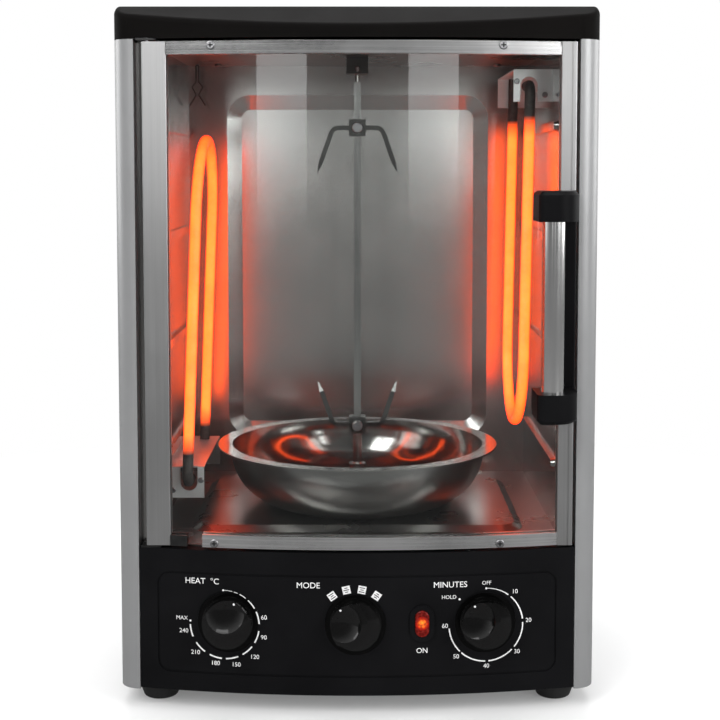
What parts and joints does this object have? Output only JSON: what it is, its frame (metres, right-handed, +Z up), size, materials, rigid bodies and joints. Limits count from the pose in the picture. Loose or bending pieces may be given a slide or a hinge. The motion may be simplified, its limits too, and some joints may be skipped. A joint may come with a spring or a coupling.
{
  "type": "vertical rotisserie grill",
  "caption": "Upright tabletop grill with a bowed glass door, side heating tubes, a turning vertical spit with forks, a drip bowl and control knobs on a black panel.",
  "frame": {"origin": "on the resting surface under the middle of the whole grill", "axes": "+Z up, the glass door and knobs face -Y, the door handle is on +X"},
  "size_m": [0.34, 0.312, 0.4985],
  "materials": {
    "silver_paint": "satin silver-grey",
    "grey_sheet": "zinc grey",
    "black_plastic": "fine satin black",
    "handle_plastic": "satin black",
    "knob_plastic": "gloss black",
    "switch_plastic": "moulded",
    "foot_rubber": "matte",
    "liner_steel": "brushed",
    "bowl_steel": "polished",
    "spit_steel": "ground",
    "bracket_steel": "plain sheet",
    "heater_glow": "glowing tube",
    "door_aluminium": "satin silver",
    "door_glass": "clear",
    "handle_steel": "brushed",
    "screw_steel": "plated",
    "motor_case": "plated can",
    "bush_bronze": "sintered",
    "lamp_red": "clear red"
  },
  "bodies": {
    "cabinet": {"side_panel_left": "silver_paint", "side_panel_right": "silver_paint", "rear_panel": "grey_sheet", "base_plate": "grey_sheet", "switch_plate": "grey_sheet", "hinge_plates": "grey_sheet", "top_cover": "black_plastic", "control_panel": "black_plastic", "lamp_housing": "black_plastic", "cord_gland": "black_plastic", "thermostat": "switch_plastic", "function_switch": "switch_plastic", "timer_unit": "switch_plastic", "terminal_block": "switch_plastic", "magnet_catch": "switch_plastic", "feet": "foot_rubber", "floor_pan": "liner_steel", "ceiling_plate": "liner_steel", "back_wall": "liner_steel", "side_wall_left": "liner_steel", "side_wall_right": "liner_steel", "drip_bowl": "bowl_steel", "heater_bracket_left": "bracket_steel", "heater_bracket_right": "bracket_steel", "spit_bracket": "bracket_steel", "motor_bracket": "bracket_steel", "sensor_clip": "bracket_steel", "heater_left": "heater_glow", "heater_right": "heater_glow", "case_screws": "screw_steel", "foot_screws": "screw_steel", "drive_motor": "motor_case", "floor_bush": "bush_bronze", "lamp_lens": "lamp_red"},
    "door": {"door_stile_left": "door_aluminium", "door_stile_right": "door_aluminium", "door_rail_top": "door_aluminium", "door_rail_bottom": "door_aluminium", "glass_clip": "door_aluminium", "door_glass": "door_glass", "door_screws": "screw_steel", "hinge_pins": "screw_steel", "handle_back_plate": "handle_plastic", "handle_cap_bottom": "handle_plastic", "handle_cap_top": "handle_plastic", "handle_tube": "handle_steel", "handle_screws": "screw_steel", "strike_plate": "bracket_steel"},
    "spit": {"spit_rod": "spit_steel", "drive_shaft": "spit_steel"},
    "upper_fork": {"upper_fork": "spit_steel"},
    "lower_fork": {"lower_fork": "spit_steel"},
    "upper_fork_screw": {"upper_fork_screw": "screw_steel"},
    "lower_fork_screw": {"lower_fork_screw": "screw_steel"},
    "temperature_knob": {"temperature_knob": "knob_plastic", "temperature_shaft": "screw_steel"},
    "function_knob": {"function_knob": "knob_plastic", "function_shaft": "screw_steel"},
    "timer_knob": {"timer_knob": "knob_plastic", "timer_shaft": "screw_steel"}
  },
  "joints": [
    {"name": "door_hinge", "type": "hinge", "parent": "cabinet", "child": "door", "pos_m": [-0.146, -0.111, 0.296], "axis": [0, 0, -1], "range_deg": [0, 115]},
    {"name": "spit_spin", "type": "hinge", "parent": "cabinet", "child": "spit", "pos_m": [0, 0.009, 0.3], "axis": [0, 0, 1], "continuous": true},
    {"name": "upper_fork_slide", "type": "slide", "parent": "spit", "child": "upper_fork", "axis": [0, 0, 1], "range_m": [-0.08, 0.028]},
    {"name": "lower_fork_slide", "type": "slide", "parent": "spit", "child": "lower_fork", "axis": [0, 0, 1], "range_m": [0, 0.075]},
    {"name": "upper_fork_screw_turn", "type": "hinge", "parent": "upper_fork", "child": "upper_fork_screw", "pos_m": [0, 0.002, 0.4165], "axis": [0, -1, 0], "range_deg": [0, 720]},
    {"name": "lower_fork_screw_turn", "type": "hinge", "parent": "lower_fork", "child": "lower_fork_screw", "pos_m": [0, 0.002, 0.1829], "axis": [0, -1, 0], "range_deg": [0, 720]},
    {"name": "temperature_turn", "type": "hinge", "parent": "cabinet", "child": "temperature_knob", "pos_m": [-0.091, -0.114, 0.0675], "axis": [0, 1, 0], "range_deg": [-26, 249]},
    {"name": "function_turn", "type": "hinge", "parent": "cabinet", "child": "function_knob", "pos_m": [-0.001, -0.114, 0.0675], "axis": [0, 1, 0], "range_deg": [0, 75]},
    {"name": "timer_turn", "type": "hinge", "parent": "cabinet", "child": "timer_knob", "pos_m": [0.0905, -0.114, 0.0675], "axis": [0, 1, 0], "range_deg": [-18, 302]}
  ]
}
